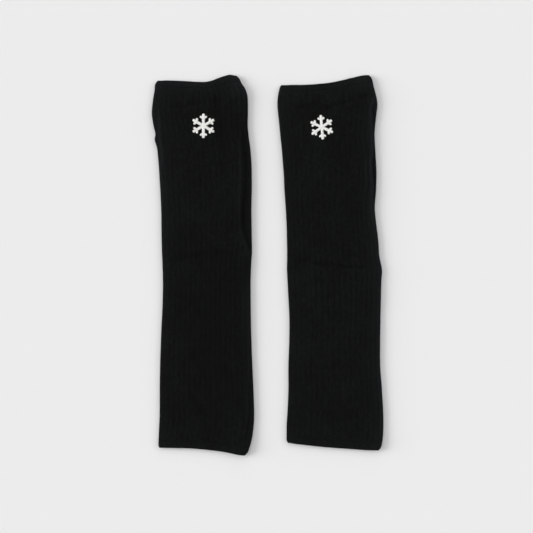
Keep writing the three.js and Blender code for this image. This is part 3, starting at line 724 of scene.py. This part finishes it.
def one_stitch():
    """A thread that rises out of the cloth, lies over and goes back in, 1 mm across, as a mesh to copy."""
    bm = bmesh.new()
    bmesh.ops.create_circle(bm, cap_ends=True, segments=5, radius=STITCH["thread"] / 2)
    start = Matrix.Translation((-0.5, 0, 0)) @ Matrix.Rotation(math.radians(20), 4, "Y")
    bmesh.ops.transform(bm, matrix=start, verts=bm.verts)
    bmesh.ops.spin(bm, geom=bm.verts[:] + bm.edges[:] + bm.faces[:], cent=(0, 0, 0), axis=(0, 1, 0),
                   angle=math.pi, steps=6)
    bmesh.ops.scale(bm, vec=(1, 1, 2 * STITCH["rise"]), verts=bm.verts)
    bmesh.ops.recalc_face_normals(bm, faces=bm.faces)
    mesh = bpy.data.meshes.new("one_stitch")
    bm.to_mesh(mesh)
    bm.free()
    return mesh


def satin_columns():
    """The snowflake's bars, arms that meet in the middle and branches: each one's start, end and width."""
    for sixth in range(6):
        turn = math.pi / 2 + sixth * math.pi / 3
        along = Vector((math.cos(turn), math.sin(turn)))
        yield along * 0.1, along * FLAKE["arm_length"], FLAKE["arm_width"]
        for side in (1, -1):
            branch = turn + side * FLAKE["branch_angle"]
            reach = FLAKE["branch_length"] + FLAKE["arm_width"] / 2
            tip = Vector((math.cos(branch), math.sin(branch))) * reach
            root = along * FLAKE["branch_at"]
            yield root + tip * 0.25, root + tip, FLAKE["branch_width"]


def satin_snowflake(leg):
    """The motif in satin stitch: threads side by side across each bar, shorter at its rounded tip."""
    draw = np.random.default_rng(leg["seed"] + 7)
    at_x, at_y, turned = leg["snowflake"]
    stitch = one_stitch()
    bm = bmesh.new()
    for start, end, width in satin_columns():
        run = end - start
        count = round(run.length / STITCH["pitch"])
        for number in range(count):
            left_over = run.length * (count - number - 0.5) / count
            tip = math.sqrt(1 - (1 - min(left_over / (width / 2), 1)) ** 2)
            spot = start + run * ((number + 0.5) / count)
            across = math.atan2(run.y, run.x) + math.pi / 2 + draw.uniform(-0.05, 0.05)
            size = (width * max(tip, 0.45) * draw.uniform(0.94, 1.06), draw.uniform(0.9, 1.1),
                    max(tip, 0.3) * draw.uniform(0.85, 1.1))
            place_at = (Matrix.Translation((at_x, at_y, 0)) @ Matrix.Rotation(turned, 4, "Z")
                        @ Matrix.Translation(spot.to_3d()) @ Matrix.Rotation(across, 4, "Z")
                        @ Matrix.Diagonal((*size, 1)))
            older = len(bm.verts)
            bm.from_mesh(stitch)
            bm.verts.ensure_lookup_table()
            bmesh.ops.transform(bm, matrix=place_at, verts=bm.verts[older:])
    bpy.data.meshes.remove(stitch)
    corners = np.array([v.co for v in bm.verts])
    heights = top_of_cloth(leg, corners[:, 0], corners[:, 1])
    for vert, height in zip(bm.verts, heights):
        vert.co.z += height - STITCH["sunk"]
    bmesh.ops.translate(bm, vec=(*MIDDLE, 0), verts=bm.verts)
    bmesh.ops.scale(bm, vec=(MM, MM, MM), verts=bm.verts)
    return finished(leg["name"] + "_embroidered_snowflake", bm)


def linear(colour):
    """An sRGB hex colour as the linear numbers that a shader takes."""
    values = [int(colour[i : i + 2], 16) / 255 for i in (1, 3, 5)]
    return [v / 12.92 if v <= 0.04045 else ((v + 0.055) / 1.055) ** 2.4 for v in values] + [1.0]


def add_node(tree, kind, inputs=None, **settings):
    """Adds one node with its settings, and fills its sockets with values or with links."""
    node = tree.nodes.new(kind)
    for name, value in settings.items():
        setattr(node, name, value)
    for name, value in (inputs or {}).items():
        if isinstance(value, bpy.types.NodeSocket):
            tree.links.new(value, node.inputs[name])
        else:
            node.inputs[name].default_value = value
    return node


def new_material(name):
    material = bpy.data.materials.new(name)
    material.use_nodes = True
    tree = material.node_tree
    tree.nodes.clear()
    return material, tree


def black_rib_knit():
    """Rib knit in dope-dyed black spun yarn. It is matt, because every fibre scatters, and it has a short
    nap that greys a little at a grazing angle. The stitches are V shapes, drawn as bump. Its colour is
    painted paler at the side folds, ends, lips and corners, as sheen and highlight, and painted darker in
    creases and dents, as shade."""
    material, tree = new_material("black_spun_yarn_rib_knit")

    def math_node(operation, first, second=0.0, third=0.0):
        inputs = {0: first, 1: second, 2: third}
        return add_node(tree, "ShaderNodeMath", inputs, operation=operation).outputs[0]

    knit = add_node(tree, "ShaderNodeUVMap", uv_map="knit")
    axes = add_node(tree, "ShaderNodeSeparateXYZ", {0: knit.outputs[0]})
    wale = math_node("FRACT", math_node("MULTIPLY_ADD", axes.outputs["X"], WALES_PER_RIB, 0.5))
    from_middle = math_node("ABSOLUTE", math_node("MULTIPLY_ADD", wale, 2.0, -1.0))
    slanted = math_node("MULTIPLY_ADD", from_middle, -0.55, axes.outputs["Y"])
    loop = math_node("COSINE", math_node("MULTIPLY", slanted, math.tau))
    leg = math_node("SINE", math_node("MULTIPLY", from_middle, math.pi))
    stitch = math_node("MULTIPLY_ADD", loop, 0.35, leg)

    stitch_of = add_node(tree, "ShaderNodeCombineXYZ", {
        0: math_node("FLOOR", math_node("MULTIPLY_ADD", axes.outputs["X"], WALES_PER_RIB, 0.5)),
        1: math_node("FLOOR", slanted)})
    each = add_node(tree, "ShaderNodeTexWhiteNoise", {"Vector": stitch_of.outputs[0]}, noise_dimensions="2D")

    place_of = add_node(tree, "ShaderNodeTexCoord")
    fuzz = add_node(tree, "ShaderNodeTexNoise", {
        "Vector": place_of.outputs["Object"], "Scale": 1 / (0.9 * MM), "Detail": 4.0, "Roughness": 0.7})
    patches = add_node(tree, "ShaderNodeTexNoise", {
        "Vector": place_of.outputs["Object"], "Scale": 1 / (34 * MM), "Detail": 3.0, "Roughness": 0.55})
    shade = math_node("MULTIPLY_ADD", patches.outputs[0], 0.9, -0.25)
    speck = math_node("MULTIPLY_ADD", fuzz.outputs[0], 1.1, -0.55)
    uneven = math_node("MULTIPLY_ADD", each.outputs[0], 0.62, -0.31)
    # The per-point attribute below paints the yarn paler at the side folds, ends, lips and corners, as
    # painted sheen and highlight with some paler nap, and darker in creases and dents, as painted shade
    fuzz_and_light = add_node(tree, "ShaderNodeAttribute", attribute_name="fuzz_and_painted_light")
    # its part below 0 is painted shade, which darkens the yarn
    painted_shade_part = math_node("MINIMUM", fuzz_and_light.outputs["Fac"], 0.0)
    mixed = math_node("ADD", math_node("ADD", math_node("ADD", shade, speck), uneven), painted_shade_part)
    yarn = add_node(tree, "ShaderNodeMix", {0: mixed, 6: linear("#0B0D0B"), 7: linear("#151816")},
                    data_type="RGBA")
    # its part above 0 mixes the yarn toward the paler colour: painted sheen and highlight, with some paler
    # nap
    uneven_sheen_and_fuzz = math_node("MULTIPLY_ADD", fuzz.outputs[0], 0.9, 0.5)
    sheen_and_fuzz_share = math_node("MULTIPLY", fuzz_and_light.outputs["Fac"], uneven_sheen_and_fuzz)
    colour = add_node(tree, "ShaderNodeMix", {0: sheen_and_fuzz_share, 6: yarn.outputs[2], 7: linear("#1C1E20")},
                      data_type="RGBA")

    relief = math_node("MULTIPLY_ADD", fuzz.outputs[0], 0.5, stitch)
    bump = add_node(tree, "ShaderNodeBump", {"Height": relief, "Strength": 0.6, "Distance": 0.2 * MM})
    shader = add_node(tree, "ShaderNodeBsdfPrincipled", {
        "Base Color": colour.outputs[2], "Roughness": 0.92, "Specular IOR Level": 0.05,
        "Sheen Weight": 0.02, "Sheen Roughness": 0.45, "Normal": bump.outputs[0]})
    add_node(tree, "ShaderNodeOutputMaterial", {"Surface": shader.outputs[0]})
    return material


def white_embroidery():
    """Satin stitch in bright white polyester thread. The straight filaments shine a little along each
    stitch, and the thread is never quite as thick or as white from one stitch to the next."""
    material, tree = new_material("white_polyester_embroidery_thread")
    place_of = add_node(tree, "ShaderNodeTexCoord")
    ply = add_node(tree, "ShaderNodeTexNoise", {
        "Vector": place_of.outputs["Object"], "Scale": 1 / (0.5 * MM), "Detail": 3.0, "Roughness": 0.6})
    colour = add_node(tree, "ShaderNodeMix", {0: ply.outputs[0], 6: linear("#E9E8E3"), 7: linear("#FCFCFA")},
                      data_type="RGBA")
    bump = add_node(tree, "ShaderNodeBump", {
        "Height": ply.outputs[0], "Strength": 0.3, "Distance": 0.05 * MM})
    shader = add_node(tree, "ShaderNodeBsdfPrincipled", {
        "Base Color": colour.outputs[2], "Roughness": 0.42, "Specular IOR Level": 0.5,
        "Sheen Weight": 0.15, "Sheen Roughness": 0.4, "Normal": bump.outputs[0]})
    add_node(tree, "ShaderNodeOutputMaterial", {"Surface": shader.outputs[0]})
    return material


def pale_table():
    """A plain board with matt off-white paint: it gives back an even pale grey and no gloss."""
    material, tree = new_material("matt_white_paint")
    shader = add_node(tree, "ShaderNodeBsdfPrincipled", {
        "Base Color": linear("#ECECEC"), "Roughness": 1.0, "Specular IOR Level": 0.0})
    add_node(tree, "ShaderNodeOutputMaterial", {"Surface": shader.outputs[0]})
    return material


def photograph_camera():
    """A long lens straight above, so that the sides don't show, framed as the photograph is."""
    lens_data = bpy.data.cameras.new("camera")
    camera = bpy.data.objects.new("camera", lens_data)
    bpy.context.scene.collection.objects.link(camera)
    half = PHOTO_PIXELS / 2
    x = (half - ORIGIN_PIXEL[0]) * PIXEL * MM
    y = (ORIGIN_PIXEL[1] - half) * PIXEL * MM
    camera.location = (x, y, CAMERA_HEIGHT)
    width = PHOTO_PIXELS * PIXEL * MM
    lens_data.lens = lens_data.sensor_width * (CAMERA_HEIGHT - SIDE_HEIGHT * MM) / width
    lens_data.clip_start = 0.1
    lens_data.clip_end = 20
    bpy.context.scene.camera = camera


def soft_light(name, azimuth, elevation, spread, share):
    """Light from a broad soft window far off, on that side. share is its part of the light on the table."""
    lamp_data = bpy.data.lights.new(name, "SUN")
    lamp_data.angle = math.radians(spread)
    lamp_data.energy = share * math.pi / math.sin(math.radians(elevation))
    lamp = bpy.data.objects.new(name, lamp_data)
    bpy.context.scene.collection.objects.link(lamp)
    a, e = math.radians(azimuth), math.radians(elevation)
    away = Vector((math.cos(a) * math.cos(e), math.sin(a) * math.cos(e), math.sin(e)))
    lamp.location = away
    lamp.rotation_mode = "QUATERNION"
    lamp.rotation_quaternion = away.to_track_quat("Z", "Y")


def studio():
    """The pale table, the even light of the room, its ceiling, and soft windows on three sides."""
    bm = bmesh.new()
    bmesh.ops.create_grid(bm, x_segments=1, y_segments=1, size=TABLE_REACH)
    floor = finished("table_top", bm, smooth_shading=False)
    floor.data.materials.append(pale_table())
    world = bpy.data.worlds.new("room")
    bpy.context.scene.world = world
    world.use_nodes = True
    world.node_tree.nodes["Background"].inputs["Color"].default_value = (1, 1, 1, 1)
    world.node_tree.nodes["Background"].inputs["Strength"].default_value = 0.20
    soft_light("window_left", 174, 21, 40, 0.34)
    soft_light("window_above", 96, 27, 45, 0.10)
    soft_light("window_right", 12, 30, 50, 0.14)
    soft_light("ceiling", 90, 88, 80, 0.22)
    bpy.context.scene.view_settings.view_transform = "Standard"


photograph_camera()
studio()

KNIT = black_rib_knit()
EMBROIDERY = white_embroidery()

for leg in (LEFT, RIGHT):
    side = leg["name"]
    tube = knitted_tube(leg)
    knee, ankle = turned_welt(leg, True), turned_welt(leg, False)
    for piece, node in ((tube, "_tube"), (knee, "_knee_welt"), (ankle, "_ankle_welt")):
        piece.data.materials.append(KNIT)
        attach(piece, "root")
        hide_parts(side + node)
    motif = satin_snowflake(leg)
    motif.data.materials.append(EMBROIDERY)
    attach(motif, "root")
    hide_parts(side + "_snowflake")
